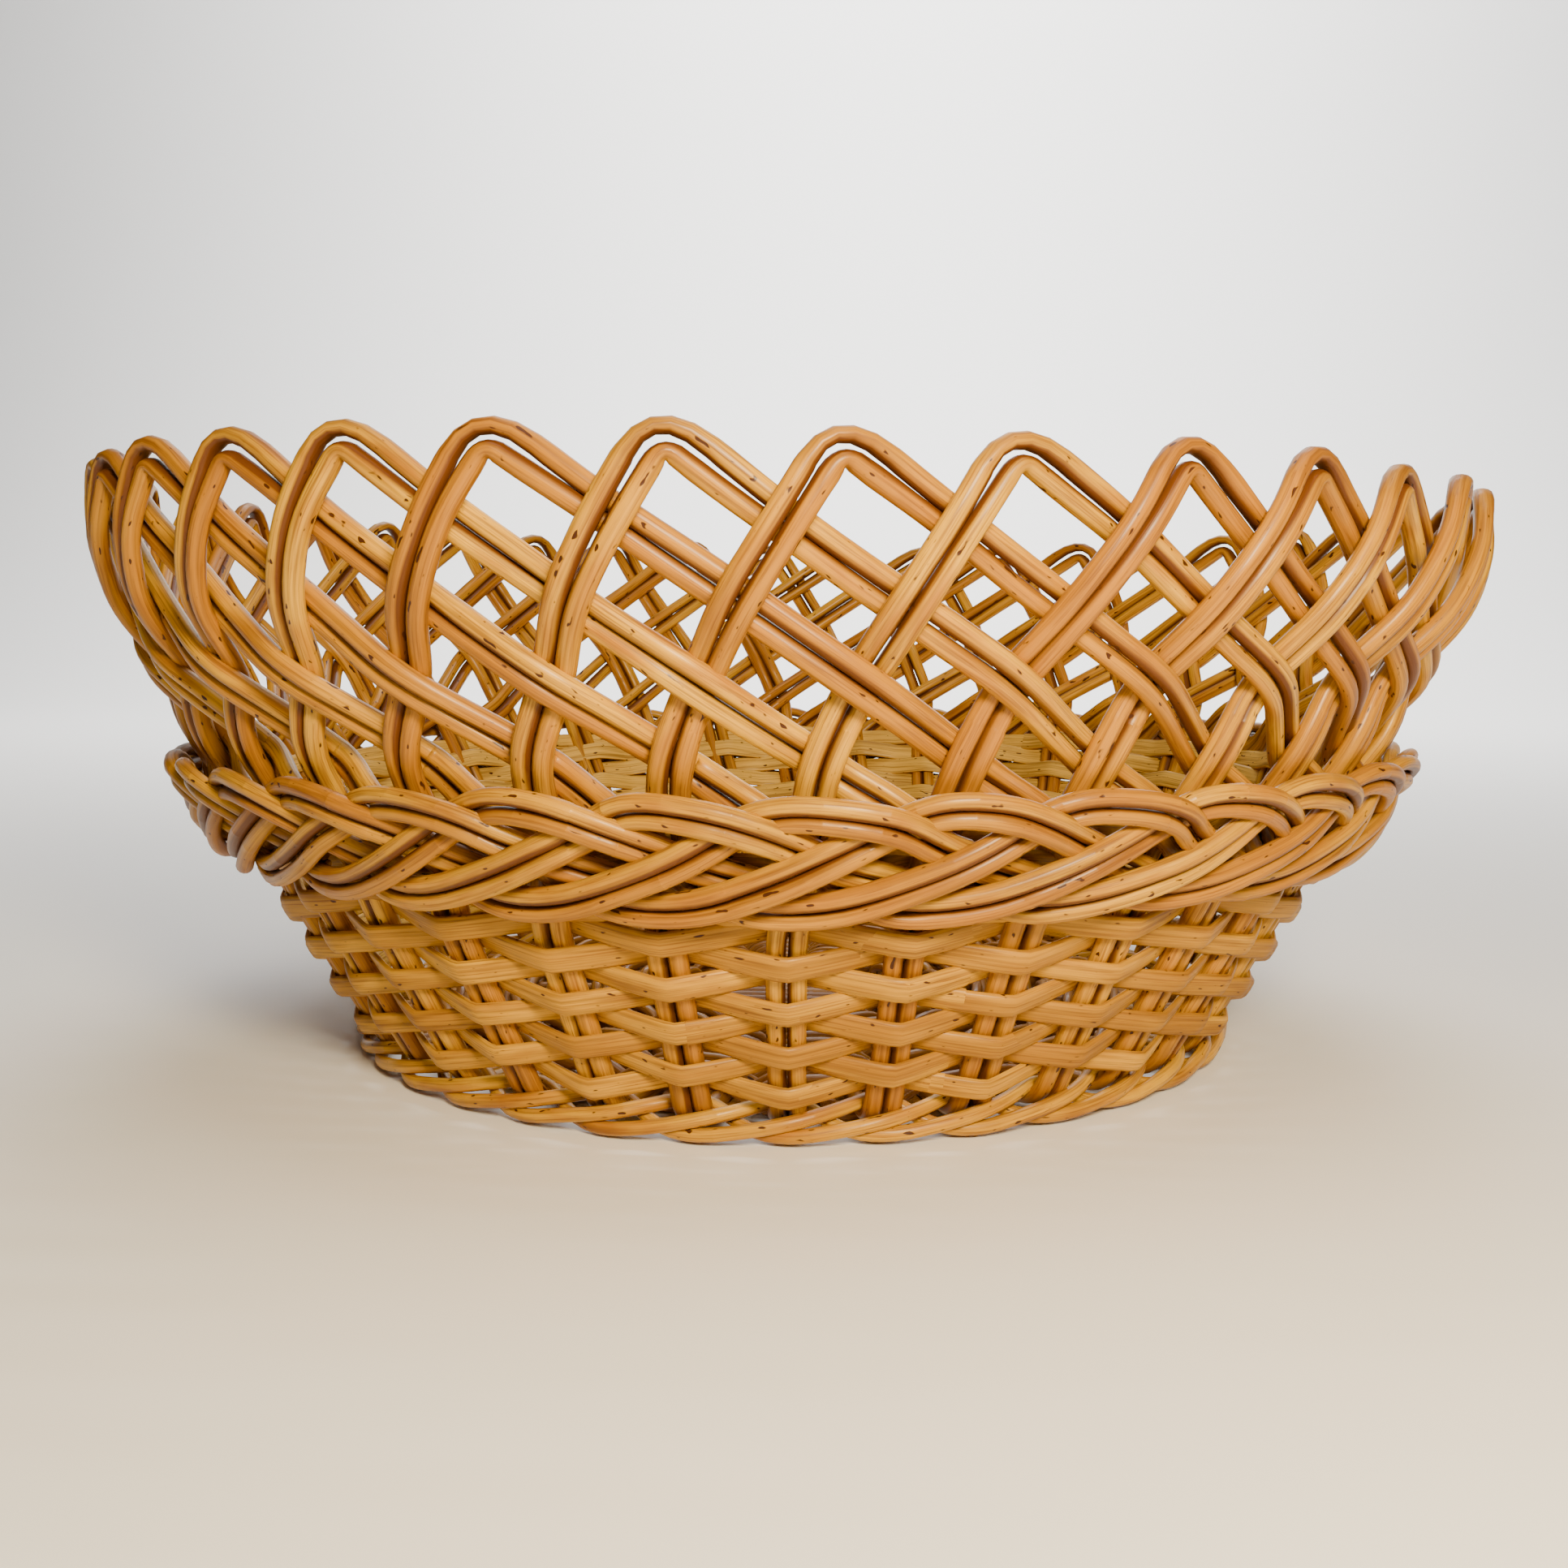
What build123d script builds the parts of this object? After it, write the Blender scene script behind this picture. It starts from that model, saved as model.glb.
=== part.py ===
"""Round woven willow basket: stake pairs, split-willow wall, foot wale and woven base, each its own solid.

Frame: millimetres, +Z up, origin on the axis in the plane the basket stands on.
"""
from build123d import *
import math
import os

# ---- driving dimensions ----
PAIR_COUNT = 36
RIM_RADIUS = 200.0
RIM_HEIGHT = 160.0
FOOT_RADIUS = 126.5
WALL_TOP_RADIUS = 160.0
PLAIT_TOP_RADIUS = 172.5
PLAIT_BOTTOM_Z = 62.0
PLAIT_TOP_Z = 90.0
ROD_DIAMETER = 4.0
ROD_GAP = 0.3

# ---- lattice of arches above the plait; leans and sweeps are degrees round the axis ----
STEM_LEAN = 1.6
APEX_LEAN = 11.8
ARCH_SWEEP = 44.0
CROSSING_SHARE = 0.875
RISING_SIDE = {4: 1, 3: -1, 2: 1, 1: 1}
ARCH_BEND = 6.0
ROD_BEND = 14.0
FOOT_BEND = 6.0
TURN_DOWN_BEFORE = 0.18
TURN_DOWN_ABOVE = 3.6

# ---- plait: how the rod ends are laid down over the feet of the arches ----
LAYER_GAP = 1.0
PLAIT_BEND = 5.0
# places in the plait as (pitches on from where the arch comes down, share of the plait's height, layers out)
BEHIND_START = (0.25, 0.82, 1.0)
BEHIND_END = (0.85, 0.20, 1.0)
LOWER_TURN = (1.15, 0.06, 1.5)
UPWARD_START = (1.45, 0.22, 2.0)
UPWARD_END = (2.45, 0.82, 2.0)
UPPER_TURN = (2.75, 0.96, 2.5)
OVER_START = (2.95, 0.82, 3.0)
OVER_END = (3.95, 0.33, 3.0)
PLAIT_PLACES = [BEHIND_START, BEHIND_END, LOWER_TURN, UPWARD_START]
PLAIT_PLACES += [UPWARD_END, UPPER_TURN, OVER_START, OVER_END]

# ---- split-willow wall ----
ROW_COUNT = 8
FIRST_ROW_Z = 14.8
ROW_PITCH = 5.8
STRIP_HEIGHT = 4.8
STRIP_THICKNESS = 1.6
STRIP_CLEARANCE = 0.35

# ---- foot wale ----
WALE_DIAMETER = 3.4
WALE_ROD_COUNT = 3
WALE_RISE = 5.2
WALE_CLEARANCE = 0.85
WALE_BEND = 5.0
WALE_END_GAP = 0.4

# ---- base ----
LONG_STICK_DIAMETER = 5.4
CROSS_STICK_DIAMETER = 3.6
LONG_STICK_COUNT = 5
CROSS_STICK_COUNT = 4
STICK_HOLE_CLEARANCE = 0.1
STICK_END_GAP = 6.5
SLATH_HALF = 18.0
FAN_RADIUS = 36.0
WEAVER_DIAMETER = 2.8
WEAVER_PITCH = 3.6
WEAVER_FIRST_RADIUS = 38.0
WEAVER_COUNTS = {"inner": 8, "middle": 7, "outer": 7}
WEAVER_CLEARANCE = 0.2
WEAVER_BEND = 2.0
WEAVER_HOLD = 0.7
TAIL_LENGTH = 26.0

ROD_RADIUS = ROD_DIAMETER / 2
PITCH = 360.0 / PAIR_COUNT
PAIRS_CROSSED = max(RISING_SIDE)
SIDE_STEP = (ROD_DIAMETER + ROD_GAP) / 2
LAYER = ROD_DIAMETER + LAYER_GAP
CROSSING_LIFT = ROD_DIAMETER * CROSSING_SHARE
STICK_REACH = FOOT_RADIUS - STICK_END_GAP
WEAVER_LIFT = (LONG_STICK_DIAMETER + WEAVER_DIAMETER) / 2 + WEAVER_CLEARANCE
BASE_Z = WEAVER_LIFT + WEAVER_DIAMETER / 2
STICK_STEP = 2 * PITCH


def wall_radius(z):
    """Radius of the stakes' centre line at height z: a straight flare, then a rounding lattice."""
    if z <= PLAIT_BOTTOM_Z:
        return FOOT_RADIUS + (WALL_TOP_RADIUS - FOOT_RADIUS) * z / PLAIT_BOTTOM_Z
    if z <= PLAIT_TOP_Z:
        share = (z - PLAIT_BOTTOM_Z) / (PLAIT_TOP_Z - PLAIT_BOTTOM_Z)
        return WALL_TOP_RADIUS + (PLAIT_TOP_RADIUS - WALL_TOP_RADIUS) * share
    share = (z - PLAIT_TOP_Z) / (RIM_HEIGHT - PLAIT_TOP_Z)
    return PLAIT_TOP_RADIUS + (RIM_RADIUS - PLAIT_TOP_RADIUS) * math.sin(math.pi / 2 * min(share, 1.0))


def round_point(angle, radius, z):
    """Point at an angle in degrees round the axis, counted from -Y towards +X."""
    turn = math.radians(angle)
    return Vector(radius * math.sin(turn), -radius * math.cos(turn), z)


def bent_path(points, bend, closed=False):
    """Straight runs joined by arcs, each as near to the wanted bend as its two runs leave room for."""
    count = len(points)
    corners = range(count) if closed else range(1, count - 1)
    radii = []
    for i in corners:
        before = points[i] - points[i - 1]
        after = points[(i + 1) % count] - points[i]
        half_turn = math.radians(before.get_angle(after)) / 2
        room = 0.45 * min(before.length, after.length) / math.tan(half_turn)
        wanted = bend[i] if isinstance(bend, list) else bend
        radii.append(min(wanted, room))
    return FilletPolyline(*points, radius=radii, close=closed)


def rod_along(path, diameter):
    """Round rod swept along a path."""
    section = Plane(origin=path @ 0, z_dir=path % 0) * Circle(diameter / 2)
    return sweep(section, path=path)


# ---- stake pairs ----
def arch_route():
    """Centre line of one pair as (angle, height, layer, bend), from the foot to the cut end."""
    lattice_height = RIM_HEIGHT - PLAIT_TOP_Z
    plait_height = PLAIT_TOP_Z - PLAIT_BOTTOM_Z
    crossings = [(j, (ARCH_SWEEP - PITCH * j) / ARCH_SWEEP) for j in RISING_SIDE]
    last_lift = -CROSSING_LIFT * RISING_SIDE[PAIRS_CROSSED]
    route = [(0.0, PLAIT_TOP_Z - ROD_RADIUS, 0.0, ROD_BEND)]
    for j, rise in crossings:
        lift = CROSSING_LIFT * RISING_SIDE[j]
        route.append((APEX_LEAN * rise, PLAIT_TOP_Z + lattice_height * rise, lift, ROD_BEND))
    route.append((APEX_LEAN, RIM_HEIGHT, 0.0, ARCH_BEND))
    for j, rise in reversed(crossings):
        angle = PITCH * j + APEX_LEAN * rise
        lift = -CROSSING_LIFT * RISING_SIDE[j]
        route.append((angle, PLAIT_TOP_Z + lattice_height * rise, lift, ROD_BEND))
    route.append((ARCH_SWEEP - PITCH * TURN_DOWN_BEFORE, PLAIT_TOP_Z + TURN_DOWN_ABOVE, last_lift, ROD_BEND))
    for pitches, share, layers in PLAIT_PLACES:
        z = PLAIT_BOTTOM_Z + plait_height * share
        route.append((ARCH_SWEEP + PITCH * pitches, z, LAYER * layers, PLAIT_BEND))
    leaning = [(STEM_LEAN + angle, z, lift, bend) for angle, z, lift, bend in route]
    return [(0.0, PLAIT_BOTTOM_Z, 0.0, ROD_BEND)] + leaning


def beside(route, side):
    """One rod of the pair: the centre line moved sideways within the basket's surface."""
    flat = [Vector(math.radians(angle) * wall_radius(z), z) for angle, z, _, _ in route]
    flat = [Vector(0.0, BASE_Z)] + flat
    moved = []
    for i in range(1, len(flat)):
        before = (flat[i] - flat[i - 1]).normalized()
        after = (flat[i + 1] - flat[i]).normalized() if i + 1 < len(flat) else before
        left = Vector(-(before.Y + after.Y), before.X + after.X).normalized()
        mitre = SIDE_STEP / math.cos(math.radians(before.get_angle(after)) / 2)
        place = flat[i] + left * (side * mitre)
        layer = route[i - 1][2]
        radius = wall_radius(place.Y)
        moved.append(round_point(math.degrees(place.X / wall_radius(flat[i].Y)), radius + layer, place.Y))
    return moved


def stake(side):
    """One rod: tail in the base, up the wall, over its arch and down through the plait."""
    route = arch_route()
    radius = wall_radius(BASE_Z)
    sideways = -side * SIDE_STEP
    tail = Vector(sideways, -(radius - TAIL_LENGTH), BASE_Z)
    base_bend = Vector(sideways, -radius, BASE_Z)
    bends = [FOOT_BEND, FOOT_BEND] + [bend for _, _, _, bend in route]
    bends[bends.index(ARCH_BEND)] += side * SIDE_STEP
    path = bent_path([tail, base_bend] + beside(route, side), bends)
    return rod_along(path, ROD_DIAMETER)


def stake_pair(left_rod, right_rod, number):
    """The pair rooted at the given place round the basket, as two separate rods."""
    turn = PITCH * (number - 0.5)
    return Compound([Rot(0, 0, turn) * left_rod, Rot(0, 0, turn) * right_rod])


# ---- wall ----
def strip_outline(row_radius, lift, first_side, offset):
    """Closed outline of one face of a strip, out past one pair and in behind the next."""
    hold = math.degrees((SIDE_STEP + ROD_RADIUS + STRIP_CLEARANCE) / row_radius)
    points = []
    for number in range(PAIR_COUNT):
        side = first_side if number % 2 == 0 else -first_side
        radius = row_radius + side * lift + offset
        middle = PITCH * (number + 0.5)
        points.append(round_point(middle - hold, radius, 0))
        points.append(round_point(middle + hold, radius, 0))
    return Polygon(*points, align=None)


def wall_row(row):
    """One round of split willow, woven out and in past the pairs."""
    z = FIRST_ROW_Z + ROW_PITCH * row
    lean = (WALL_TOP_RADIUS - FOOT_RADIUS) / PLAIT_BOTTOM_Z
    lift = ROD_RADIUS + STRIP_THICKNESS / 2 + STRIP_HEIGHT / 2 * lean + STRIP_CLEARANCE
    first_side = 1 if row % 2 == 0 else -1
    outer = strip_outline(wall_radius(z), lift, first_side, STRIP_THICKNESS / 2)
    inner = strip_outline(wall_radius(z), lift, first_side, -STRIP_THICKNESS / 2)
    return Pos(0, 0, z - STRIP_HEIGHT / 2) * extrude(outer - inner, STRIP_HEIGHT)


# ---- foot wale ----
def wale_rod(start):
    """One rod of the three-rod wale: outside two pairs, then inside one, resting on the tails."""
    foot = wall_radius(BASE_Z)
    lift = ROD_RADIUS + WALE_DIAMETER / 2 + WALE_CLEARANCE
    low = BASE_Z - WALE_RISE / 2
    high = BASE_Z + WALE_RISE / 2
    inside = BASE_Z + ROD_RADIUS + WALE_DIAMETER / 2 + WALE_CLEARANCE
    behind = wall_radius(inside) - lift
    hold = math.degrees((SIDE_STEP + ROD_RADIUS) / foot)
    first = PITCH * (start + 0.5)
    points = [round_point(first + WALE_END_GAP, behind, inside)]
    for stroke in range(start, start + PAIR_COUNT, WALE_ROD_COUNT):
        pair = PITCH * (stroke + 0.5)
        points.append(round_point(pair + hold, behind, inside))
        points.append(round_point(pair + PITCH / 2, foot, low))
        points.append(round_point(pair + PITCH, foot + lift, low))
        points.append(round_point(pair + PITCH * 1.5, foot + lift, BASE_Z))
        points.append(round_point(pair + PITCH * 2 + hold, wall_radius(high) + lift, high))
        points.append(round_point(pair + PITCH * 2.5, wall_radius(high), high))
        points.append(round_point(pair + PITCH * WALE_ROD_COUNT - hold, behind, inside))
    points.append(round_point(first + 360 - WALE_END_GAP, behind, inside))
    return rod_along(bent_path(points, WALE_BEND), WALE_DIAMETER)


# ---- base ----
def stick(place, count, spacing, diameter):
    """One base stick: straight through the cross, then fanned out to its own spoke at both ends."""
    offset = place - (count - 1) / 2
    spoke = math.radians(STICK_STEP * offset)
    half = [
        Vector(SLATH_HALF, offset * spacing, BASE_Z),
        Vector(FAN_RADIUS * math.cos(spoke), FAN_RADIUS * math.sin(spoke), BASE_Z),
        Vector(STICK_REACH * math.cos(spoke), STICK_REACH * math.sin(spoke), BASE_Z),
    ]
    if offset == 0:
        half = half[-1:]
    mirrored = [Vector(-point.X, point.Y, point.Z) for point in reversed(half)]
    points = mirrored + half
    path = bent_path(points, ROD_BEND) if len(points) > 2 else Line(*points)
    return rod_along(path, diameter)


def long_sticks():
    """The pierced sticks of the cross, each with holes for the sticks that pass through it."""
    spacing = LONG_STICK_DIAMETER + ROD_GAP
    sticks = []
    for place in range(LONG_STICK_COUNT):
        pierced = stick(place, LONG_STICK_COUNT, spacing, LONG_STICK_DIAMETER)
        for x in cross_places():
            hole = Cylinder(CROSS_STICK_DIAMETER / 2 + STICK_HOLE_CLEARANCE, 4 * SLATH_HALF)
            pierced -= Pos(x, 0, BASE_Z) * Rot(90, 0, 0) * hole
        sticks.append(pierced)
    return sticks


def cross_places():
    """How far from the middle each cross stick lies."""
    spacing = CROSS_STICK_DIAMETER + 2 * ROD_GAP
    return [(place - (CROSS_STICK_COUNT - 1) / 2) * spacing for place in range(CROSS_STICK_COUNT)]


def cross_sticks():
    """The sticks that pass through the pierced ones."""
    spacing = CROSS_STICK_DIAMETER + 2 * ROD_GAP
    sticks = []
    for place in range(CROSS_STICK_COUNT):
        straight = stick(place, CROSS_STICK_COUNT, spacing, CROSS_STICK_DIAMETER)
        sticks.append(Rot(0, 0, 90) * straight)
    return sticks


def weaver(ring):
    """One round of the base weave, over one spoke and the tails beside it and under the next."""
    radius = WEAVER_FIRST_RADIUS + WEAVER_PITCH * ring
    first_side = 1 if ring % 2 == 0 else -1
    hold = PITCH * WEAVER_HOLD
    points = []
    for spoke in range(PAIR_COUNT // 2):
        side = first_side if spoke % 2 == 0 else -first_side
        z = BASE_Z + side * WEAVER_LIFT
        middle = STICK_STEP * (spoke + 0.5)
        points.append(round_point(middle - hold, radius, z))
        points.append(round_point(middle + hold, radius, z))
    return rod_along(bent_path(points, WEAVER_BEND, closed=True), WEAVER_DIAMETER)


def base_weave(first, count):
    """Neighbouring rounds of the base weave."""
    return [weaver(ring) for ring in range(first, first + count)]


def write(shape, name):
    """One STEP file per sub-part."""
    solids = shape if isinstance(shape, list) else [shape]
    node = Compound(solids) if len(solids) > 1 else solids[0]
    node.label = name
    export_step(node, f"parts/{name}.step")


os.makedirs("parts", exist_ok=True)
left_stake = stake(1)
right_stake = stake(-1)
for pair_number in range(1, PAIR_COUNT + 1):
    write(stake_pair(left_stake, right_stake, pair_number), f"stake_pair_{pair_number:02d}")
for row_number in range(ROW_COUNT):
    write(wall_row(row_number), f"wall_row_{row_number + 1}")
for wale_number in range(WALE_ROD_COUNT):
    write(wale_rod(wale_number), f"foot_wale_rod_{wale_number + 1}")
write(long_sticks(), "base_pierced_sticks")
write(cross_sticks(), "base_cross_sticks")
first_ring = 0
for zone, ring_count in WEAVER_COUNTS.items():
    write(base_weave(first_ring, ring_count), f"base_weave_{zone}")
    first_ring += ring_count
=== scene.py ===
"""Looks of a round woven willow basket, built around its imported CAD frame. Lengths are millimetres until
a piece is finished, when it is scaled to metres. Angles go round the axis in degrees, from -Y towards +X."""
import bmesh
import bpy
import math
import random
from mathutils import Matrix, Vector, noise


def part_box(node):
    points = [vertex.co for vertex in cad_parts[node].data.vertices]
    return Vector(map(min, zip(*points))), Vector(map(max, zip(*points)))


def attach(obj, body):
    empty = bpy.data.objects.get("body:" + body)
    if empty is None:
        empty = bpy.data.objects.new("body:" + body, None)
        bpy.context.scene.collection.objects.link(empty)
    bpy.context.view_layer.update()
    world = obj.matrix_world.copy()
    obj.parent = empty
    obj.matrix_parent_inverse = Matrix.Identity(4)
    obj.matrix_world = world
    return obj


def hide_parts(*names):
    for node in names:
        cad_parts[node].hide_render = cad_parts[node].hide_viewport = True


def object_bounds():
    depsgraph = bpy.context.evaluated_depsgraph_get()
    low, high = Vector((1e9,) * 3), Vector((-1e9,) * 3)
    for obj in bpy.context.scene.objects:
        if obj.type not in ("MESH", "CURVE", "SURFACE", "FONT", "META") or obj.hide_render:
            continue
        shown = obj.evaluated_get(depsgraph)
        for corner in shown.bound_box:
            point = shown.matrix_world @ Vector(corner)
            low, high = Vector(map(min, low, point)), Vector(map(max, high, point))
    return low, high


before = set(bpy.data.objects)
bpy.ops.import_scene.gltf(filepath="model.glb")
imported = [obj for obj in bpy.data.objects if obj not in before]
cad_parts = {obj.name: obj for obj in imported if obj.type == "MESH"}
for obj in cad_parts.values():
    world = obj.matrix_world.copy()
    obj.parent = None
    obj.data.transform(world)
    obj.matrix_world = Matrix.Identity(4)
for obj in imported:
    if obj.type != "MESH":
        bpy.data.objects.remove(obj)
CAD_BOX = [list(corner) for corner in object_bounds()]
MM = 0.001
UP = Vector((0, 0, 1))
# noise_vector starts from the clock unless it is seeded
noise.seed_set(7)

# ---- what the frame says ----
PAIR_NODES = sorted(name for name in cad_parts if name.startswith("stake_pair_"))
ROW_NODES = sorted(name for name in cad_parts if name.startswith("wall_row_"))
WALE_NODES = sorted(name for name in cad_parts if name.startswith("foot_wale_rod_"))
PAIR_COUNT = len(PAIR_NODES)
PITCH = 360 / PAIR_COUNT
RIM_TOP = CAD_BOX[1][2] / MM

# ---- shape of the basket ----
FOOT_RADIUS = 126.5
WALL_TOP_RADIUS = 160.0
PLAIT_TOP_RADIUS = 172.5
RIM_RADIUS = 199.5
PLAIT_BOTTOM_Z = 62.0
PLAIT_TOP_Z = 90.0
RIM_ROOM = 2.8
RIM_Z = RIM_TOP - RIM_ROOM
WALL_LEAN = math.atan((WALL_TOP_RADIUS - FOOT_RADIUS) / PLAIT_BOTTOM_Z)
RIM_TILT = 4.2
RIM_SADDLE = 3.0

# ---- stakes ----
BUTT_RADIUS = 2.45
TIP_RADIUS = 1.95
SIDE_STEP_BUTT = 2.4
SIDE_STEP_TIP = 1.92
OUTER_ARCH_ROOM = 1.6
STEM_LEAN = 1.6
APEX_LEAN = 11.6
LEAN_CURVE = 1.2
ARCH_SWEEP = 44.0
CROSSING_LIFT = 3.2
RISING_SIDE = {4: 1, 3: -1, 2: 1, 1: 1}
LAYER = 4.5
BASE_Z = 5.7
TAIL_LENGTH = 26.0
STEM_FOOT_DROP = 6.0
STEM_HEAD_DROP = 9.0
INNER_ARCH_REACH = 3.0
OUTER_ARCH_REACH = 14.0
# the way down through the plait: pitches past the arch's foot, share of the plait's height, layers out
# and bend reach
PLAIT_ROUTE = (
    (0.26, 0.80, 1.0, 6), (0.85, 0.26, 1.0, 7), (1.2, 0.05, 1.6, 8), (1.8, 0.08, 2.45, 10),
    (2.4, 0.30, 2.95, 9), (2.8, 0.52, 2.85, 8), (3.2, 0.76, 2.1, 8), (3.5, 0.89, 2.5, 8),
    (3.95, 0.85, 3.0, 8), (4.25, 0.74, 2.95, 8), (4.5, 0.6, 2.45, 7), (4.85, 0.42, 1.75, 7),
    (5.35, 0.24, 1.2, 6))

# ---- how far hand work strays ----
LEAN_SPREAD = 0.5
RIM_SPREAD = 0.9
FOOT_SPREAD = 0.35
CROSSING_SPREAD = 0.15
PAIR_WANDER = 0.4
LAY_SPREAD = 0.03
LAY_HEIGHT_SPREAD = 0.02
LAY_LAYER_SPREAD = 0.04
ROD_WAVES_PER_MM = 0.03
ROD_WANDER = 0.55
KNOTS_PER_ROD = 3
KNOT_SWELL = 0.07
KNOT_RINGS = 1.6
BEND_FLATTENING = 0.55
MOST_FLATTENING = 0.24
# painted shade between the two rods of a pair: how far round the rod it starts and how dark it grows
CREVICE_SHADE_START = 0.45
CREVICE_SHADE_DEPTH = 2.4
GRAIN_SHIFT = 977

# ---- how deep the stain is, from 0 to 1 ----
PLAIT_STAIN = 0.16
PLAIT_STAIN_Z = 76
PLAIT_STAIN_SPREAD = 13
TAIL_STAIN = 0.2
TAIL_STAIN_TOP_Z = 12
OPEN_STAIN = 0.06
STRIP_STAIN = 0.12
WALE_STAIN = 0.12
WEAVER_STAIN = 0.25
STICK_STAIN = 0.3

# ---- wall strips ----
STRIP_HALF_HEIGHT = 3.3
STRIP_CROWN = 1.45
STRIP_BACK = 0.55
STRIP_FACE_POWER = 0.75
STRIP_EDGE_POWER = 0.6
STRIP_SWING = 4.0
ROW_PITCH = 5.8
HIDDEN_ROW_COUNT = 4
HIDDEN_ROW_Z = 61.6
HIDDEN_ROW_INSET = 2.6
STRIP_STEPS = 12
STRIP_LENGTHS = 3
LAP_BEFORE = 0.9
LAP_AFTER = 0.6
LAP_LIFT = 0.5
CREASE = 0.998

# ---- foot wale ----
WALE_RADIUS = 1.9
WALE_LIFT = 4.3
WALE_SPREAD = 0.3

# ---- base ----
SLATH_HALF = 18.0
FAN_RADIUS = 36.0
WEAVER_PITCH = 3.6
WEAVER_FIRST_RADIUS = 38.0
WEAVER_COUNTS = {"inner": 8, "middle": 7, "outer": 7}
WEAVER_RADIUS = 1.65
WEAVER_SWING = 4.1
WEAVER_STEPS = 8
WEAVER_HOLD = 2.2
STICK_REACH = 120.0
PIERCED_COUNT, PIERCED_SPACING, PIERCED_RADIUS = 5, 5.7, 2.6
CROSS_COUNT, CROSS_SPACING, CROSS_RADIUS = 4, 4.2, 2.0

# ---- fineness of the meshes ----
RUN_STEPS = 3
BEND_STEPS = 5
BEND_SHARE = 0.48
STAKE_SIDES = 14
STRIP_SIDES = 12
WALE_SIDES = 12
WEAVER_SIDES = 8


# ---- placing points on the basket ----
def wall_radius(z):
    """Radius of the stakes' centre line at a height."""
    if z <= PLAIT_BOTTOM_Z:
        return FOOT_RADIUS + math.tan(WALL_LEAN) * z
    if z <= PLAIT_TOP_Z:
        share = (z - PLAIT_BOTTOM_Z) / (PLAIT_TOP_Z - PLAIT_BOTTOM_Z)
        return WALL_TOP_RADIUS + (PLAIT_TOP_RADIUS - WALL_TOP_RADIUS) * share
    share = (z - PLAIT_TOP_Z) / (RIM_Z - PLAIT_TOP_Z)
    return PLAIT_TOP_RADIUS + (RIM_RADIUS - PLAIT_TOP_RADIUS) * math.sin(math.pi / 2 * min(share, 1.0))


def round_point(angle, radius, z):
    """Point at an angle round the axis."""
    turn = math.radians(angle)
    return Vector((radius * math.sin(turn), -radius * math.cos(turn), z))


def rounded(corners, reaches, run_steps=RUN_STEPS, bend_steps=BEND_STEPS):
    """Line through a route's corners, each corner eased into a bend that starts its reach away from it."""
    line = []
    leave = corners[0]
    for before, corner, after, reach in zip(corners, corners[1:], corners[2:], reaches[1:-1]):
        back = before - corner
        on = after - corner
        start = corner + back.normalized() * min(reach, back.length * BEND_SHARE)
        end = corner + on.normalized() * min(reach, on.length * BEND_SHARE)
        line += [leave.lerp(start, step / run_steps) for step in range(run_steps)]
        for step in range(bend_steps):
            share = step / bend_steps
            line.append(start.lerp(corner, share).lerp(corner.lerp(end, share), share))
        leave = end
    return line + [leave.lerp(corners[-1], step / run_steps) for step in range(run_steps + 1)]


# ---- bending straight rods ----
straight_rods = {}


def straight_rod(sides, stations):
    """Unit rod along +Z with a ring at each whole height and closed ends, copied for every rod."""
    key = (sides, stations)
    if key in straight_rods:
        return straight_rods[key]
    bm = bmesh.new()
    bmesh.ops.create_circle(bm, segments=sides, radius=1.0)
    edges = bm.edges[:]
    for _ in range(1, stations):
        made = bmesh.ops.extrude_edge_only(bm, edges=edges)["geom"]
        ring = {part for part in made if isinstance(part, bmesh.types.BMVert)}
        edges = [part for part in made if isinstance(part, bmesh.types.BMEdge) and set(part.verts) <= ring]
        bmesh.ops.translate(bm, vec=UP, verts=list(ring))
    bmesh.ops.holes_fill(bm, edges=[edge for edge in bm.edges if edge.is_boundary], sides=0)
    bmesh.ops.recalc_face_normals(bm, faces=bm.faces[:])
    mesh = bpy.data.meshes.new(f"straight_{sides}_{stations}")
    bm.to_mesh(mesh)
    bm.free()
    straight_rods[key] = mesh
    return mesh


def carried_frames(line):
    """Tangent and two cross directions at each point, carried along without twist."""
    last = len(line) - 1
    frames = []
    cross = None
    for i, point in enumerate(line):
        tangent = (line[min(i + 1, last)] - line[max(i - 1, 0)]).normalized()
        if cross is None:
            cross = tangent.cross(UP if abs(tangent.z) < 0.9 else Vector((1, 0, 0))).normalized()
        cross = (cross - tangent * cross.dot(tangent)).normalized()
        frames.append((point, cross, tangent.cross(cross), tangent))
    return frames


def strip_frames(line):
    """As carried_frames, but the first cross direction always faces out of the leaning wall."""
    last = len(line) - 1
    frames = []
    for i, point in enumerate(line):
        tangent = (line[min(i + 1, last)] - line[max(i - 1, 0)]).normalized()
        radial = Vector((point.x, point.y, 0)).normalized()
        slope = radial * math.sin(WALL_LEAN) + UP * math.cos(WALL_LEAN)
        out = tangent.cross(slope).normalized()
        frames.append((point, out, out.cross(tangent).normalized() * -1, tangent))
    return frames


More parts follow.
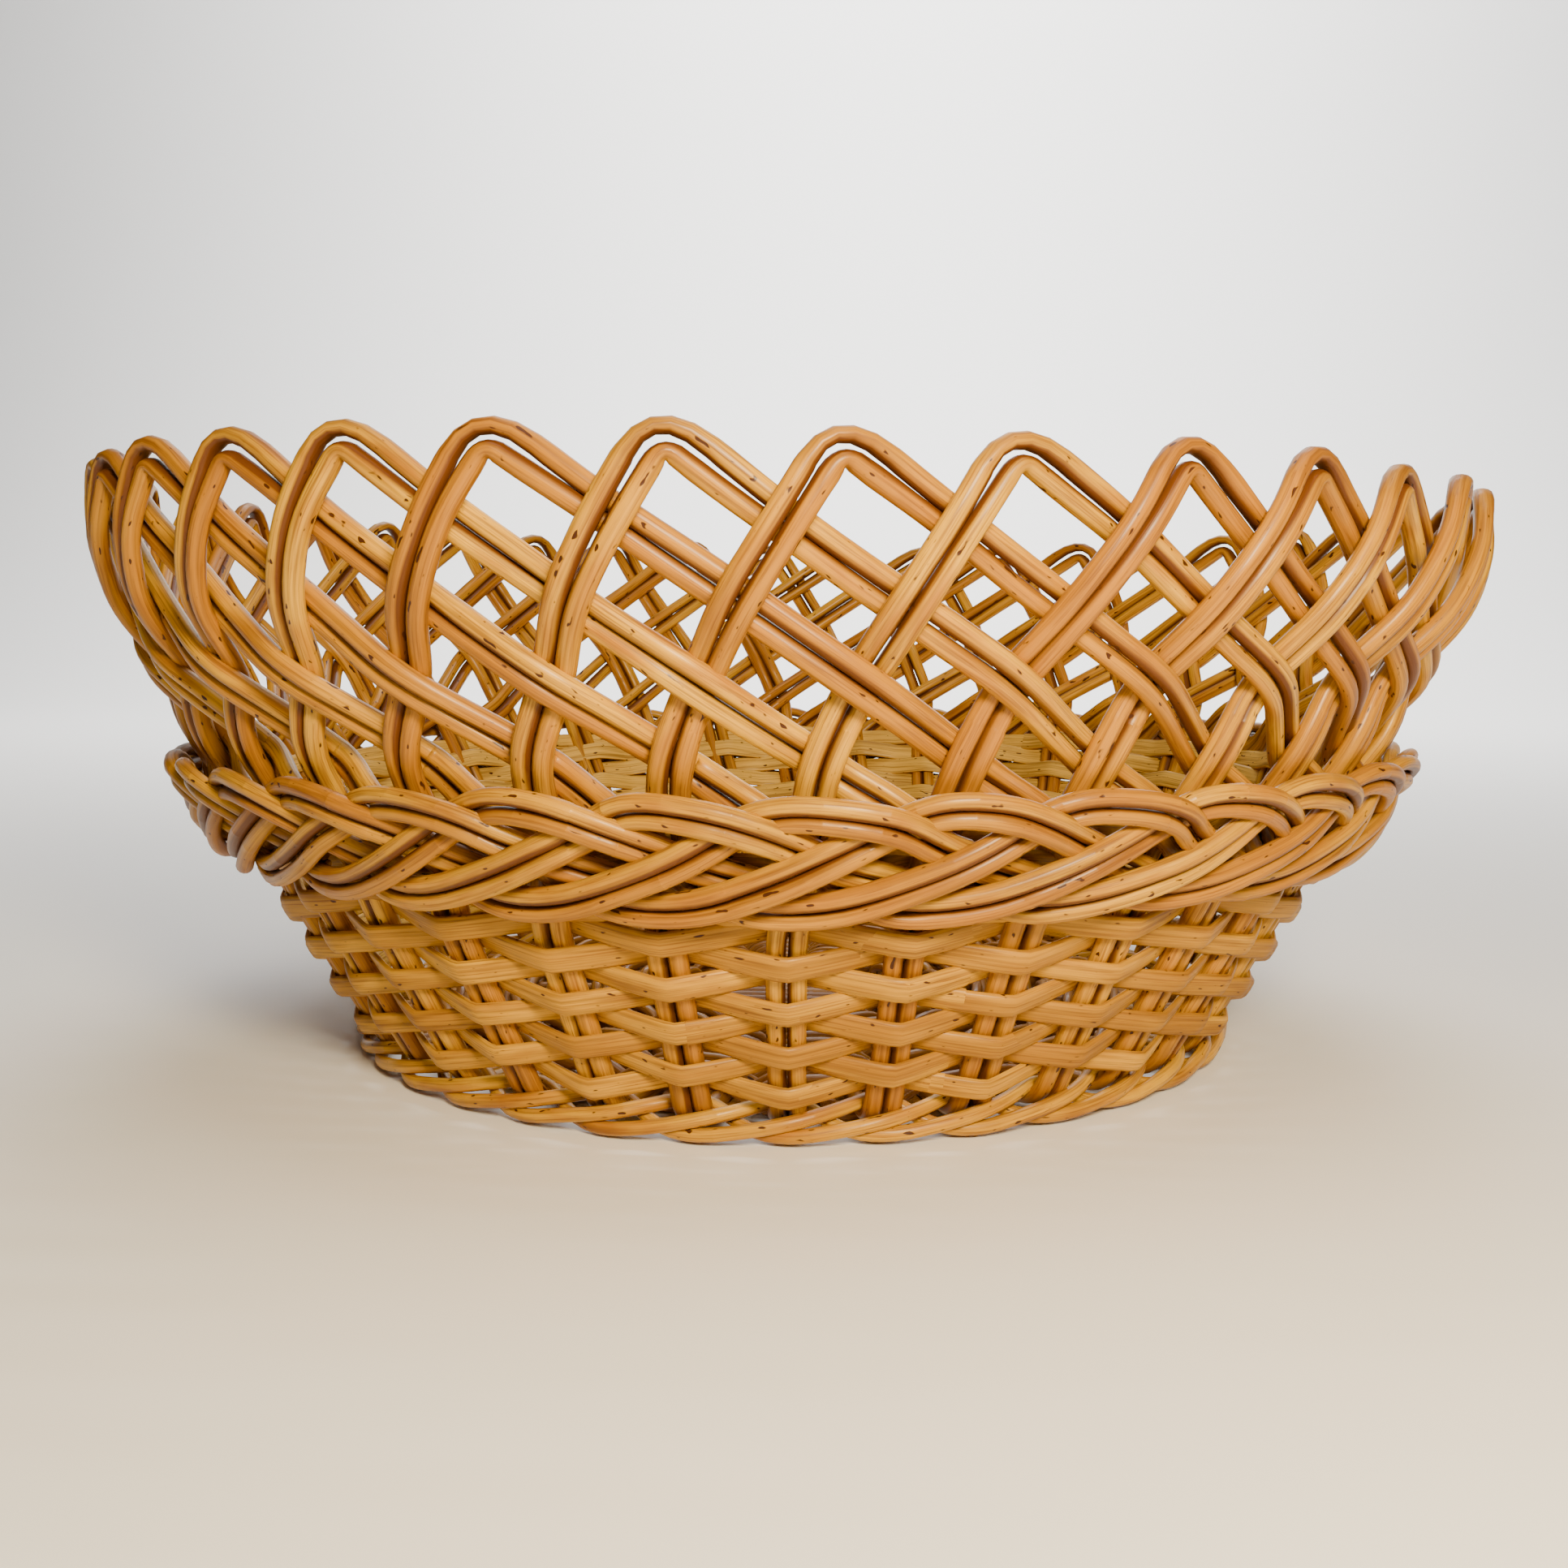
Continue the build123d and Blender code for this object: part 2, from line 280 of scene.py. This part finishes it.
def bent_rod(bm, frames, section, stain, seed, sides, partner=0):
    """Adds a copy of the straight rod, bent to the frames. section(i, x, y) is the place in the cut at
    ring i. partner is the side where another rod touches, which gets painted shade: 1 left, -1 right, 0 none."""
    first = len(bm.verts)
    bm.from_mesh(straight_rod(sides, len(frames)))
    bm.verts.ensure_lookup_table()
    grain = bm.verts.layers.float_vector["grain"]
    tone = bm.verts.layers.float["tone"]
    shade = bm.verts.layers.float["stain"]
    cut = bm.verts.layers.float["cut"]
    along = [0.0]
    for i in range(1, len(frames)):
        along.append(along[-1] + (frames[i][0] - frames[i - 1][0]).length)
    for vert in bm.verts[first:]:
        i = round(vert.co.z)
        x, y = section(i, vert.co.x, vert.co.y)
        point, across, beside, tangent = frames[i]
        facing = across * vert.co.x + beside * vert.co.y
        outward = Vector((point.x, point.y, 0)).normalized()
        # painted shade on the side that faces the partner rod, stored together with the stain in the stain
        # attribute
        crevice_shade = max(facing.dot(outward.cross(tangent)) * partner - CREVICE_SHADE_START, 0.0) * CREVICE_SHADE_DEPTH
        vert[grain] = Vector((x, y, along[i] + GRAIN_SHIFT * seed))
        vert[tone] = seed
        vert[shade] = min(stain[i] + crevice_shade, 1.0)
        vert[cut] = 1.0 if vert.co.x < -0.05 else 0.0
        vert.co = point + across * x + beside * y


def new_pieces():
    """Empty bmesh with the layers that the willow materials read."""
    bm = bmesh.new()
    bm.verts.layers.float_vector.new("grain")
    for name in ("tone", "stain", "cut"):
        bm.verts.layers.float.new(name)
    return bm


def finish_piece(bm, name, material, slot, *nodes):
    """Turns a bmesh into a named piece that stands for CAD nodes and rides with the basket."""
    bmesh.ops.scale(bm, vec=Vector((MM, MM, MM)), verts=bm.verts[:])
    for face in bm.faces:
        face.smooth = len(face.verts) == 4
        for edge in face.edges:
            if len(face.verts) > 4:
                edge.smooth = False
    mesh = bpy.data.meshes.new(name)
    bm.to_mesh(mesh)
    bm.free()
    mesh.materials.append(material)
    piece = bpy.data.objects.new(name, mesh)
    bpy.context.collection.objects.link(piece)
    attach(piece, "root")
    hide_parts(*nodes)
    return piece


def round_section(line, frames, butt, tip, rng):
    """Cut of a round rod: it tapers, swells at knots and flattens a little on the inside of sharp bends."""
    last = len(line) - 1
    turns = [Vector((0, 0, 0))]
    for i in range(1, last):
        turns.append((line[i + 1] - line[i]).normalized() - (line[i] - line[i - 1]).normalized())
    turns.append(Vector((0, 0, 0)))
    knots = [rng.randrange(len(line)) for _ in range(KNOTS_PER_ROD)]
    radii = []
    for i in range(len(line)):
        radius = butt + (tip - butt) * i / last
        swell = sum(math.exp(-((i - knot) / KNOT_RINGS) ** 2) for knot in knots)
        radii.append(radius * (1 + KNOT_SWELL * swell))

    def section(i, x, y):
        _, across, beside, _ = frames[i]
        squash = min(turns[i].length * BEND_FLATTENING, MOST_FLATTENING)
        place = Vector((x, y)) * radii[i]
        if squash > 0.01:
            inward = Vector((turns[i].dot(across), turns[i].dot(beside))).normalized()
            part = inward * place.dot(inward)
            place = (place - part) * (1 + 0.5 * squash) + part * (1 - squash)
        return place.x, place.y

    return section


def bend_stain(line, base, rng):
    """How deeply the varnish and the bending have coloured a rod at each point, from 0 to 1."""
    last = len(line) - 1
    turns = []
    for i, point in enumerate(line):
        before = point - line[max(i - 2, 0)]
        after = line[min(i + 2, last)] - point
        turns.append(before.angle(after) if before.length > 0 and after.length > 0 else 0.0)
    stain = []
    for i, point in enumerate(line):
        near = turns[max(i - 3, 0):i + 4]
        stain.append(min(base(point) + 0.5 * sum(near) / len(near) + rng.uniform(0, 0.03), 1.0))
    return stain


# ---- stakes ----
def arch_route(rng, lift):
    """One pair's centre line as (angle, height, layer, reach), from the plait's foot to the cut end.
    lift raises the pair's arch where the rim stands higher."""
    lattice = RIM_Z - PLAIT_TOP_Z
    plait = PLAIT_TOP_Z - PLAIT_BOTTOM_Z
    apex_lean = APEX_LEAN + rng.uniform(-LEAN_SPREAD, LEAN_SPREAD)
    apex_z = RIM_Z + rng.uniform(-RIM_SPREAD, RIM_SPREAD) + lift
    foot = rng.uniform(-FOOT_SPREAD, FOOT_SPREAD)
    route = [(foot, PLAIT_TOP_Z - STEM_HEAD_DROP, 0.0, 14)]
    crossings = [(j, (ARCH_SWEEP - PITCH * j) / ARCH_SWEEP) for j in RISING_SIDE]
    for j, rise in crossings:
        stray = rng.uniform(-CROSSING_SPREAD, CROSSING_SPREAD)
        angle = foot + (apex_lean - foot) * rise ** LEAN_CURVE + stray
        height = PLAIT_TOP_Z + (apex_z - PLAIT_TOP_Z) * rise
        route.append((angle, height, CROSSING_LIFT * RISING_SIDE[j], 8))
    route.append((apex_lean, apex_z, 0.0, "arch"))
    wander = rng.uniform(-PAIR_WANDER, PAIR_WANDER)
    for j, rise in reversed(crossings):
        angle = PITCH * j + APEX_LEAN * rise ** LEAN_CURVE + wander
        height = PLAIT_TOP_Z + (lattice + lift) * rise
        route.append((angle, height, -CROSSING_LIFT * RISING_SIDE[j], 9))
    route.append((ARCH_SWEEP - PITCH * 0.16 + wander, PLAIT_TOP_Z + 2.6, -CROSSING_LIFT, 5))
    for pitches, share, layer, reach in PLAIT_ROUTE:
        past = pitches + wander * 0.1 + rng.uniform(-LAY_SPREAD, LAY_SPREAD)
        height = PLAIT_BOTTOM_Z + plait * (share + rng.uniform(-LAY_HEIGHT_SPREAD, LAY_HEIGHT_SPREAD))
        out = LAYER * (layer + rng.uniform(-LAY_LAYER_SPREAD, LAY_LAYER_SPREAD))
        route.append((ARCH_SWEEP + PITCH * past, height, out, reach))
    leaning = [(STEM_LEAN + angle, z, out, reach) for angle, z, out, reach in route]
    return [(0.0, PLAIT_BOTTOM_Z - STEM_FOOT_DROP, 0.0, 8)] + leaning


def rod_beside(route, side):
    """Corners of one rod of a pair: the centre line moved sideways within the basket's surface. The outer
    rod stands a little further off at the arch."""
    flat = [Vector((0.0, BASE_Z))]
    flat += [Vector((math.radians(angle) * wall_radius(z), z)) for angle, z, _, _ in route]
    corners = []
    for i in range(1, len(flat)):
        before = (flat[i] - flat[i - 1]).normalized()
        after = (flat[i + 1] - flat[i]).normalized() if i + 1 < len(flat) else before
        left = Vector((-(before.y + after.y), before.x + after.x)).normalized()
        step = SIDE_STEP_BUTT + (SIDE_STEP_TIP - SIDE_STEP_BUTT) * i / len(flat)
        mitre = step / math.cos(before.angle(after) / 2)
        if side > 0 and route[i - 1][3] == "arch":
            mitre *= OUTER_ARCH_ROOM
        place = flat[i] + left * side * mitre
        angle = math.degrees(place.x / wall_radius(flat[i].y))
        corners.append(round_point(angle, wall_radius(place.y) + route[i - 1][2], place.y))
    return corners


def weather(line, seed):
    """A rod is never quite straight: moves each point by slow noise."""
    shift = Vector((seed * 91, seed * 37, 0))
    return [point + noise.noise_vector(point * ROD_WAVES_PER_MM + shift) * ROD_WANDER for point in line]


def stake_stain(point):
    """Darker round the plait, fading out towards the feet of the arches, and on the tails; a little
    everywhere else.
    """
    plait = PLAIT_STAIN * math.exp(-((point.z - PLAIT_STAIN_Z) / PLAIT_STAIN_SPREAD) ** 2)
    return plait + (TAIL_STAIN if point.z < TAIL_STAIN_TOP_Z else OPEN_STAIN)


def stake(bm, route, side, rng):
    """One rod of a pair: tail in the base, up the wall, over its arch and down through the plait."""
    radius = wall_radius(BASE_Z)
    sideways = -side * SIDE_STEP_BUTT
    corners = [Vector((sideways, -(radius - TAIL_LENGTH), BASE_Z)), Vector((sideways, -radius, BASE_Z))]
    corners += rod_beside(route, side)
    arch_reach = OUTER_ARCH_REACH if side > 0 else INNER_ARCH_REACH
    reaches = [5, 6] + [arch_reach if reach == "arch" else reach for _, _, _, reach in route]
    seed = rng.random()
    line = weather(rounded(corners, reaches), seed)
    frames = carried_frames(line)
    butt = BUTT_RADIUS * rng.uniform(0.93, 1.04)
    tip = TIP_RADIUS * rng.uniform(0.9, 1.1)
    section = round_section(line, frames, butt, tip, rng)
    bent_rod(bm, frames, section, bend_stain(line, stake_stain, rng), seed, STAKE_SIDES, partner=-side)


def stake_pair(number, node, material):
    """The pair rooted at its place round the basket."""
    rng = random.Random(700 + number)
    root = PITCH * (number + 0.5)
    sideways = math.sin(math.radians(root + APEX_LEAN - CAMERA_TURN))
    route = arch_route(rng, RIM_SADDLE * sideways ** 2 - RIM_TILT * sideways)
    bm = new_pieces()
    stake(bm, route, 1, rng)
    stake(bm, route, -1, rng)
    turn = Matrix.Rotation(math.radians(root), 3, "Z")
    bmesh.ops.rotate(bm, cent=Vector((0, 0, 0)), matrix=turn, verts=bm.verts[:])
    finish_piece(bm, f"willow_{node}", material, "willow_rod", node)


# ---- wall ----
def strip_line(row, height, start, end, lift, inset):
    """Middle of a strip, out past one pair and in behind the next, with a crease outside each pair."""
    line = []
    first_side = 1 if row % 2 == 0 else -1
    for step in range(round((end - start) * STRIP_STEPS) + 1):
        turns = start + step / STRIP_STEPS
        wave = math.cos(math.pi * turns) * first_side
        swing = math.asin(CREASE * wave) / math.asin(CREASE) * STRIP_SWING + lift
        if swing > 0:
            swing -= inset * wave
        z = height + 0.5 * noise.noise(Vector((turns * 0.9, row * 7.3, 0)))
        angle = PITCH * (turns + 0.5)
        radius = wall_radius(z) + swing * math.cos(WALL_LEAN)
        line.append(round_point(angle, radius, z - swing * math.sin(WALL_LEAN)))
    return line


def row_strips(bm, row, height, inset):
    """One round of split willow in lengths that lap behind a pair."""
    rng = random.Random(40 + row)
    joints = [rng.randrange(0, 3) + PAIR_COUNT // STRIP_LENGTHS * part for part in range(STRIP_LENGTHS)]
    joints.append(joints[0] + PAIR_COUNT)
    for part in range(STRIP_LENGTHS):
        seed = rng.random()
        start, end = joints[part] - LAP_BEFORE, joints[part + 1] + LAP_AFTER
        line = strip_line(row, height, start, end, LAP_LIFT * (part % 2), inset)
        frames = strip_frames(line)
        half = STRIP_HALF_HEIGHT * rng.uniform(0.92, 1.06)
        stain = [STRIP_STAIN + 0.1 * noise.noise(point * 0.05) for point in line]

        def section(i, x, y):
            swell = 1 + 0.08 * noise.noise(Vector((i * 0.11, seed * 60, 0)))
            thick = STRIP_CROWN if x > 0 else STRIP_BACK
            thickness = abs(x) ** STRIP_FACE_POWER * thick
            return math.copysign(thickness, x), math.copysign(abs(y) ** STRIP_EDGE_POWER * half * swell, y)

        bent_rod(bm, frames, section, stain, seed, STRIP_SIDES)


def wall_row(row, node, material):
    """One round of the wall, at its CAD height."""
    low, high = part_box(node)
    bm = new_pieces()
    row_strips(bm, row, (low[2] + high[2]) / 2 / MM + 1.0, 0.0)
    finish_piece(bm, f"willow_{node}", material, "split_willow", node)


def hidden_rows(material):
    """The rounds behind the plait, which show only from inside. They replace no node."""
    bm = new_pieces()
    for step in range(HIDDEN_ROW_COUNT):
        row_strips(bm, len(ROW_NODES) + step, HIDDEN_ROW_Z + ROW_PITCH * step, HIDDEN_ROW_INSET)
    finish_piece(bm, "willow_rows_behind_plait", material, "split_willow")


# ---- foot wale ----
def wale_rod(start, node, material):
    """One rod of the wale: it climbs outside two pairs, then dips inside one."""
    rng = random.Random(20 + start)
    foot = wall_radius(BASE_Z)
    corners = []
    inside = foot - WALE_LIFT + 1.0
    outside = foot + WALE_LIFT
    for stroke in range(start, start + PAIR_COUNT + 1, 3):
        # pitches past the pair that the rod dips behind, distance from the axis, height, whether it strays
        for pitches, radius, z, strays in (
                (-0.12, inside, 9.6, False), (0.2, inside, 8.6, False), (0.55, foot + 0.6, 3.4, False),
                (1.0, outside, 2.4, True), (1.5, outside + 0.6, 4.1, True), (2.05, outside + 0.9, 6.6, True),
                (2.5, foot + 1.6, 8.4, False)):
            height = z + rng.uniform(-WALE_SPREAD, WALE_SPREAD) if strays else z
            corners.append(round_point(PITCH * (stroke + 0.5) + PITCH * pitches, radius, height))
    corners = corners[:-6]
    seed = rng.random()
    line = rounded(corners, [6] * len(corners), run_steps=2, bend_steps=4)
    frames = carried_frames(line)
    section = round_section(line, frames, WALE_RADIUS, WALE_RADIUS * 0.95, rng)
    bm = new_pieces()
    bent_rod(bm, frames, section, bend_stain(line, lambda point: WALE_STAIN, rng), seed, WALE_SIDES)
    finish_piece(bm, f"willow_{node}", material, "willow_rod", node)


# ---- base ----
def weaver_line(ring, radius):
    """One round of the base weave, over one spoke and the tails beside it and under the next."""
    line = []
    side = 1 if ring % 2 == 0 else -1
    spokes = PAIR_COUNT // 2
    for step in range(spokes * WEAVER_STEPS + 3):
        turns = step / WEAVER_STEPS
        wave = math.cos(math.pi * (turns - 0.5)) * side
        swing = math.tanh(WEAVER_HOLD * wave) / math.tanh(WEAVER_HOLD)
        angle = 2 * PITCH * turns
        line.append(round_point(angle, radius + 0.15 * swing, BASE_Z + WEAVER_SWING * swing))
    return line


def base_zone(zone, first_ring, count, material):
    """Neighbouring rounds of the base weave."""
    bm = new_pieces()
    for ring in range(first_ring, first_ring + count):
        rng = random.Random(300 + ring)
        line = weaver_line(ring, WEAVER_FIRST_RADIUS + WEAVER_PITCH * ring)
        frames = carried_frames(line)
        radius = WEAVER_RADIUS * rng.uniform(0.95, 1.05)
        section = round_section(line, frames, radius, radius, rng)
        bent_rod(bm, frames, section, [WEAVER_STAIN] * len(line), rng.random(), WEAVER_SIDES)
    node = f"base_weave_{zone}"
    finish_piece(bm, f"willow_{node}", material, "base_weaver", node)


def stick_corners(place, count, spacing):
    """Corners of a base stick: straight through the cross, then fanned out to its spoke at both ends."""
    offset = place - (count - 1) / 2
    spoke = math.radians(2 * PITCH * offset)
    fan = Vector((math.cos(spoke), math.sin(spoke), 0))
    half = [fan * radius + UP * BASE_Z for radius in (FAN_RADIUS, STICK_REACH)]
    half.insert(0, Vector((SLATH_HALF, offset * spacing, BASE_Z)))
    return [Vector((-point.x, point.y, point.z)) for point in reversed(half)] + half


def base_sticks(node, count, spacing, radius, quarter_turns, material):
    """The sticks of one arm of the cross."""
    bm = new_pieces()
    rng = random.Random(90 + count)
    for place in range(count):
        corners = stick_corners(place, count, spacing)
        line = rounded(corners, [8] * len(corners), run_steps=6)
        frames = carried_frames(line)
        section = round_section(line, frames, radius, radius * 0.96, rng)
        bent_rod(bm, frames, section, [STICK_STAIN] * len(line), rng.random(), STAKE_SIDES)
    turn = Matrix.Rotation(math.pi / 2 * quarter_turns, 3, "Z")
    bmesh.ops.rotate(bm, cent=Vector((0, 0, 0)), matrix=turn, verts=bm.verts[:])
    finish_piece(bm, f"willow_{node}", material, "base_stick", node)


# ---- materials ----
def linear(hex_colour):
    """sRGB hex value as linear RGBA."""
    rgba = []
    for i in (1, 3, 5):
        part = int(hex_colour[i:i + 2], 16) / 255
        rgba.append(((part + 0.055) / 1.055) ** 2.4 if part > 0.04045 else part / 12.92)
    return (*rgba, 1.0)


def add(tree, kind, inputs=None, **settings):
    """Adds a node with its settings, and its inputs as values or links."""
    node = tree.nodes.new(kind)
    for name, value in settings.items():
        setattr(node, name, value)
    for socket, value in (inputs or {}).items():
        if isinstance(value, bpy.types.NodeSocket):
            tree.links.new(value, node.inputs[socket])
        else:
            node.inputs[socket].default_value = value
    return node


# noise along a rod: features to the millimetre across it and along it, and detail
GRAIN_PATTERNS = {
    "fibre": (2.4, 0.056, 4.0),  # lines 0.4 mm apart and 18 mm long, drawn coarser than real, to show
    "blotch": (0.25, 0.05, 2.0),  # uneven stain 4 mm across and 20 mm long
    "speck": (0.72, 0.272, 1.0),  # bud scars and specks, the peaks of noise 1.4 mm across and 4 mm long
    "streak": (0.96, 0.0256, 2.0),  # growth streaks 1 mm across and 40 mm long
}
PATCHES_PER_METRE = 25.0
FIBRE_COLOUR = "#6E3F16"
SPECK_COLOUR = "#43220D"
RELIEF = 0.0003


def willow(name, pale, golden, stain_and_shade_colour, coat, roughness, cut_colour=None):
    """Stripped, boiled willow under varnish: fine darker fibre lines run along the rod, with small dark bud
    scars and specks. The bends have taken more of the amber stain and the plait is darker; the same dark
    colour also gives painted shade where a rod lies against its partner."""
    material = bpy.data.materials.new(name)
    material.use_nodes = True
    tree = material.node_tree
    tree.nodes.clear()
    place = add(tree, "ShaderNodeTexCoord").outputs["Object"]
    grain = add(tree, "ShaderNodeAttribute", attribute_name="grain").outputs["Vector"]
    value = {"patch": add(tree, "ShaderNodeTexNoise", {
        "Vector": place, "Scale": PATCHES_PER_METRE, "Detail": 1.0}).outputs["Fac"]}
    for layer in ("tone", "stain", "cut") if cut_colour else ("tone", "stain"):
        value[layer] = add(tree, "ShaderNodeAttribute", attribute_name=layer).outputs["Fac"]
    for pattern, (across, along, detail) in GRAIN_PATTERNS.items():
        run = add(tree, "ShaderNodeMapping", {"Vector": grain, "Scale": (across, across, along)})
        value[pattern] = add(tree, "ShaderNodeTexNoise", {
            "Vector": run.outputs["Vector"], "Scale": 1.0, "Detail": detail}).outputs["Fac"]

    # the stain deepens where the rod was bent, more so in some patches of the basket; the same mask carries
    # the painted shade where a rod touches its partner
    stained_and_shaded = add(tree, "ShaderNodeMapRange", {"Value": value["patch"], "From Min": 0.3, "From Max": 0.75})
    stained_and_shaded = add(tree, "ShaderNodeMath", {0: stained_and_shaded.outputs["Result"], 1: value["stain"], 2: value["stain"]},
                 operation="MULTIPLY_ADD")
    value["stained_and_shaded"] = stained_and_shaded.outputs[0]

    # each layer over the pale wood: what it follows, where it starts and is full, how strong, its colour
    layers = [("tone", 0.0, 1.0, 1.0, golden), ("blotch", 0.42, 0.7, 1.0, golden)]
    if cut_colour:
        layers.append(("cut", 0.3, 0.7, 1.0, cut_colour))
    # the dark stained colour paints the deeper stain and also the painted shade where rods touch
    layers += [("stained_and_shaded", 0.05, 1.1, 1.0, stain_and_shade_colour), ("streak", 0.46, 0.72, 0.55, stain_and_shade_colour),
               ("fibre", 0.5, 0.68, 0.62, FIBRE_COLOUR), ("speck", 0.7, 0.74, 1.0, SPECK_COLOUR)]
    colour = linear(pale)
    for follows, start, full, strength, over in layers:
        share = add(tree, "ShaderNodeMapRange", {
            "Value": value[follows], "From Min": start, "From Max": full, "To Max": strength})
        # a colour Mix node has its colours at inputs 6 and 7 and its result at output 2
        colour = add(tree, "ShaderNodeMix", {0: share.outputs["Result"], 6: colour, 7: linear(over)},
                     data_type="RGBA").outputs[2]

    gloss = add(tree, "ShaderNodeMapRange", {
        "Value": value["blotch"], "To Min": roughness - 0.07, "To Max": roughness + 0.1})
    scar = add(tree, "ShaderNodeMapRange", {"Value": value["speck"], "From Min": 0.7, "From Max": 0.78})
    relief = add(tree, "ShaderNodeMath", {0: value["fibre"], 1: scar.outputs["Result"]}, operation="SUBTRACT")
    bump = add(tree, "ShaderNodeBump", {"Height": relief.outputs[0], "Strength": 0.3, "Distance": RELIEF})
    shader = add(tree, "ShaderNodeBsdfPrincipled", {
        "Base Color": colour, "Roughness": gloss.outputs["Result"], "Normal": bump.outputs["Normal"],
        "IOR": 1.4, "Specular IOR Level": 0.3, "Coat Weight": coat, "Coat Roughness": 0.22})
    add(tree, "ShaderNodeOutputMaterial", {"Surface": shader.outputs["BSDF"]})
    return material


# ---- camera, floor and light ----
CAMERA_TURN = 5.5
CAMERA_DISTANCE = 490.4
CAMERA_HEIGHT = 122.4
CAMERA_PITCH = 5.56
CAMERA_LENS = 35.26
CAMERA_SHIFT = -0.005
FLOOR_HALF = 3.2
BACKDROP_HEIGHT = 3.5
BACKDROP_SWEEP = 1.4
FILL_STRENGTH = 0.05
SURROUND_STRENGTH = 0.8


def look_from_the_front():
    """Camera just above the plait's height, close in, looking slightly down."""
    camera = bpy.data.objects.new("camera", bpy.data.cameras.new("camera"))
    camera.data.sensor_width = 36.0
    camera.data.lens = CAMERA_LENS
    camera.data.shift_x = CAMERA_SHIFT
    camera.data.clip_start = 0.01
    camera.location = round_point(CAMERA_TURN, CAMERA_DISTANCE, CAMERA_HEIGHT) * MM
    camera.rotation_euler = (math.radians(90 - CAMERA_PITCH), 0, math.radians(CAMERA_TURN))
    bpy.context.collection.objects.link(camera)
    bpy.context.scene.camera = camera


def floor():
    """Plain pale floor that sweeps up into a backdrop well behind the basket."""
    bm = bmesh.new()
    bmesh.ops.create_grid(bm, x_segments=1, y_segments=1, size=FLOOR_HALF)
    back = [edge for edge in bm.edges if all(vert.co.y > 0 for vert in edge.verts)]
    made = bmesh.ops.extrude_edge_only(bm, edges=back)["geom"]
    raised = [part for part in made if isinstance(part, bmesh.types.BMVert)]
    bmesh.ops.translate(bm, vec=UP * BACKDROP_HEIGHT, verts=raised)
    bmesh.ops.bevel(bm, geom=back, offset=BACKDROP_SWEEP, segments=24, profile=0.5, affect="EDGES",
                    material=-1)
    for face in bm.faces:
        face.smooth = True
    mesh = bpy.data.meshes.new("floor")
    bm.to_mesh(mesh)
    bm.free()
    # paper roll: matt, so the floor shows only soft shadows
    material = bpy.data.materials.new("matt_white_paper")
    material.use_nodes = True
    shader = material.node_tree.nodes["Principled BSDF"]
    shader.inputs["Base Color"].default_value = linear("#F4F3F1")
    shader.inputs["Roughness"].default_value = 0.9
    mesh.materials.append(material)
    ground = bpy.data.objects.new("floor", mesh)
    bpy.context.collection.objects.link(ground)


def lamp(name, place, target, size, power, colour):
    """Soft square light aimed at a target."""
    light = bpy.data.lights.new(name, "AREA")
    light.size = size
    light.energy = power
    light.color = linear(colour)[:3]
    holder = bpy.data.objects.new(name, light)
    holder.location = place
    aim = Vector(target) - Vector(place)
    holder.rotation_euler = aim.to_track_quat("-Z", "Y").to_euler()
    bpy.context.collection.objects.link(holder)


def soft_light():
    """Pale surroundings, a soft warm light above the camera, one high overhead and one on the backdrop."""
    world = bpy.data.worlds.new("studio")
    bpy.context.scene.world = world
    world.use_nodes = True
    tree = world.node_tree
    tree.nodes.clear()
    fill = add(tree, "ShaderNodeBackground", {"Color": linear("#FFFFFF"), "Strength": FILL_STRENGTH})
    surround = add(tree, "ShaderNodeBackground", {"Color": linear("#FFFFFF"), "Strength": SURROUND_STRENGTH})
    seen = add(tree, "ShaderNodeLightPath").outputs["Is Camera Ray"]
    both = add(tree, "ShaderNodeMixShader", {0: seen, 1: fill.outputs[0], 2: surround.outputs[0]})
    add(tree, "ShaderNodeOutputWorld", {"Surface": both.outputs[0]})
    lamp("key", (0.16, -0.56, 0.3), (0, 0, 0.08), 0.12, 5.9, "#FFE8BC")
    lamp("overhead", (0.3, -0.3, 3.0), (0, 0, 0), 1.4, 26.0, "#FFF4E2")
    lamp("backdrop", (0, 1.5, 2.2), (0, 3.2, 0.6), 1.5, 170.0, "#FFFFFF")


look_from_the_front()
floor()
soft_light()

# round rods boiled in the bark, which dyes them buff, then peeled and thinly varnished: golden, with soft
# warm highlights along each rod
varnished = willow("varnished_buff_willow_rod", "#E6AE22", "#BA7A16", "#5E3208", coat=0.16, roughness=0.42)
# rods split in three and planed, with less varnish: duller outside, and paler on the cut face inside
split = willow("split_willow_strip", "#DCA424", "#AE7816", "#583008", coat=0.1, roughness=0.5,
               cut_colour="#E6B850")
# thick sticks of older wood, which takes the stain darker
sticks = willow("varnished_willow_stick", "#BB8226", "#956018", "#64380C", coat=0.3, roughness=0.5)
# thin weavers packed close, where varnish collects: darker and a little glossier
weavers = willow("varnished_willow_weaver", "#C68E2A", "#9E681A", "#6C3E0E", coat=0.35, roughness=0.48)

for number, node in enumerate(PAIR_NODES):
    stake_pair(number, node, varnished)
for row, node in enumerate(ROW_NODES):
    wall_row(row, node, split)
hidden_rows(split)
for start, node in enumerate(WALE_NODES):
    wale_rod(start, node, varnished)
base_sticks("base_pierced_sticks", PIERCED_COUNT, PIERCED_SPACING, PIERCED_RADIUS, 0, sticks)
base_sticks("base_cross_sticks", CROSS_COUNT, CROSS_SPACING, CROSS_RADIUS, 1, sticks)
first_ring = 0
for zone, count in WEAVER_COUNTS.items():
    base_zone(zone, first_ring, count, weavers)
    first_ring += count
